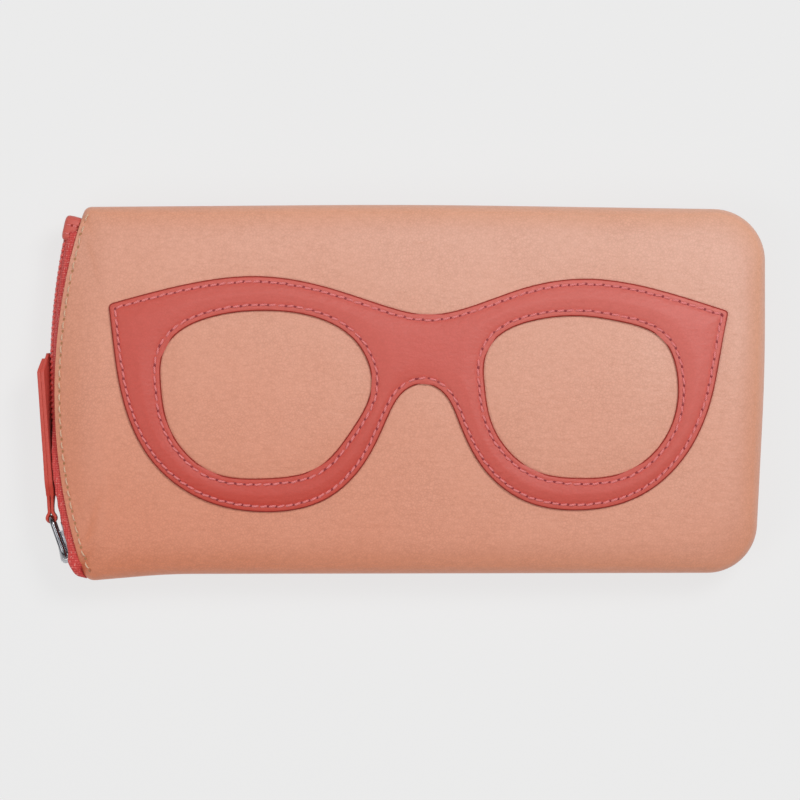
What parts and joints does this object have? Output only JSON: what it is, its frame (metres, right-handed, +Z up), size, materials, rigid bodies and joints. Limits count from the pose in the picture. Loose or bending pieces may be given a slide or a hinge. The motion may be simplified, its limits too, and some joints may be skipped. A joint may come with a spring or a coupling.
{
  "type": "eyeglasses case",
  "caption": "Padded leather eyeglasses case for more than one pair, with a curved zipped mouth at one end, a slider, ring and folded pull, and a glasses-shaped applique.",
  "frame": {"origin": "centre of the flat face the case rests on when lying on its back", "axes": "+X from the zipped mouth to the closed end, +Y across the case towards the edge with the zip's end tab, +Z up through the front that has the applique"},
  "size_m": [0.1749, 0.0902, 0.0254],
  "materials": {
    "peach_leather": "smooth-grain leather, satin",
    "coral_leather": "smooth leather, satin",
    "lining": "brushed microfibre",
    "foam": "foam sheet",
    "zip_tape": "woven tape",
    "zip_coil": "nylon coil",
    "natural_thread": "thread",
    "coral_thread": "thread",
    "chrome": "polished"
  },
  "bodies": {
    "back_wall": {"back_panel": "peach_leather", "back_padding": "foam", "back_lining": "lining", "zip_tape_back": "zip_tape", "zip_coil_back": "zip_coil", "mouth_stitches_back": "natural_thread", "seam_thread": "natural_thread", "zip_tail": "zip_tape", "zip_end_tab": "coral_leather", "tab_stitches": "coral_thread"},
    "front_wall": {"front_panel": "peach_leather", "front_padding": "foam", "front_lining": "lining", "zip_tape_front": "zip_tape", "zip_coil_front": "zip_coil", "mouth_stitches_front": "natural_thread", "glasses_applique": "coral_leather", "applique_edge_stitches": "coral_thread", "left_lens_stitches": "coral_thread", "right_lens_stitches": "coral_thread"},
    "divider": {"divider_panel": "lining", "divider_hem": "coral_leather", "divider_stitches": "coral_thread"},
    "zip_slider": {"slider_body": "chrome", "slider_crown": "chrome", "slider_lock_spring": "chrome"},
    "pull_ring": {"pull_ring": "chrome"},
    "pull_strap": {"pull_strap": "coral_leather", "pull_stitches": "coral_thread"}
  },
  "joints": [
    {"name": "slider_travel", "type": "hinge", "parent": "back_wall", "child": "zip_slider", "pos_m": [0.0783, 0.004, 0.0115], "axis": [0, 0, -1], "range_deg": [0, 22.11]},
    {"name": "mouth_open", "type": "hinge", "parent": "back_wall", "child": "front_wall", "pos_m": [0.0855, 0, 0.0115], "axis": [0, 1, 0], "range_deg": [0, 8]},
    {"name": "divider_swing", "type": "hinge", "parent": "back_wall", "child": "divider", "pos_m": [0.0855, 0, 0.0115], "axis": [0, 1, 0], "range_deg": [0, 4]},
    {"name": "ring_swing", "type": "hinge", "parent": "zip_slider", "child": "pull_ring", "pos_m": [-0.08289, -0.03969, 0.0115], "axis": [0, 0, 1], "range_deg": [0, 110]},
    {"name": "strap_swing", "type": "hinge", "parent": "pull_ring", "child": "pull_strap", "pos_m": [-0.08621, -0.03036, 0.0115], "axis": [0, 0, 1], "range_deg": [0, 90]}
  ],
  "couplings": [
    {"joint": "mouth_open", "follows": "slider_travel", "ratio": 0.36178},
    {"joint": "divider_swing", "follows": "slider_travel", "ratio": 0.18087}
  ]
}
